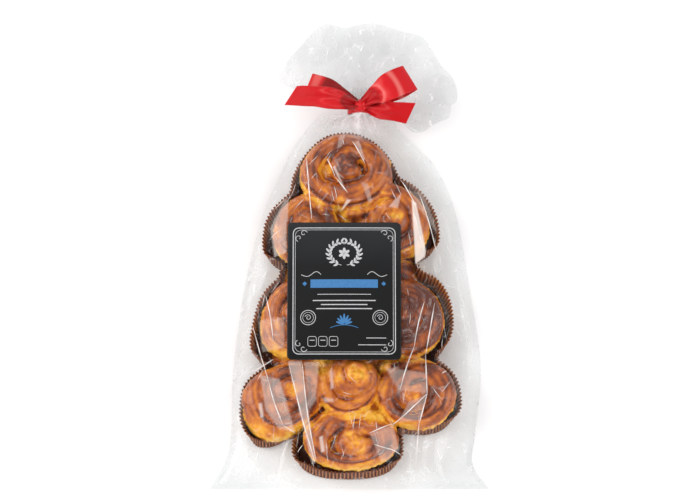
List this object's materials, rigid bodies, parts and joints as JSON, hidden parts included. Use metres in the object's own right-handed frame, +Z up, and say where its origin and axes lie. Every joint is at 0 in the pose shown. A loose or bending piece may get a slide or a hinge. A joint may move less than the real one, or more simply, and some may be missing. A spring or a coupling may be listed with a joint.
{
  "type": "wrapped tree-shaped brioche loaf",
  "caption": "Tree-shaped pull-apart brioche of glazed swirl buns in a pleated paper case, lying in a clear bag with a plain dark label, tied with a red ribbon bow.",
  "frame": {"origin": "middle of the pack's footprint, on the surface that it lies on", "axes": "+X to the right of the shown side, +Y along the bag from its bottom hem to the bow and the open mouth, +Z up out of the shown side"},
  "size_m": [0.241, 0.4172, 0.0594],
  "materials": {
    "wrapped_loaf": "satin",
    "label_card": "satin",
    "satin_ribbon": "satin",
    "crust": "satin",
    "paper_case": "matte",
    "clear_film": "gloss",
    "label_print": "satin"
  },
  "bodies": {
    "root": {"bag": "wrapped_loaf", "label": "label_card", "ribbon_bow": "satin_ribbon"}
  },
  "joints": []
}
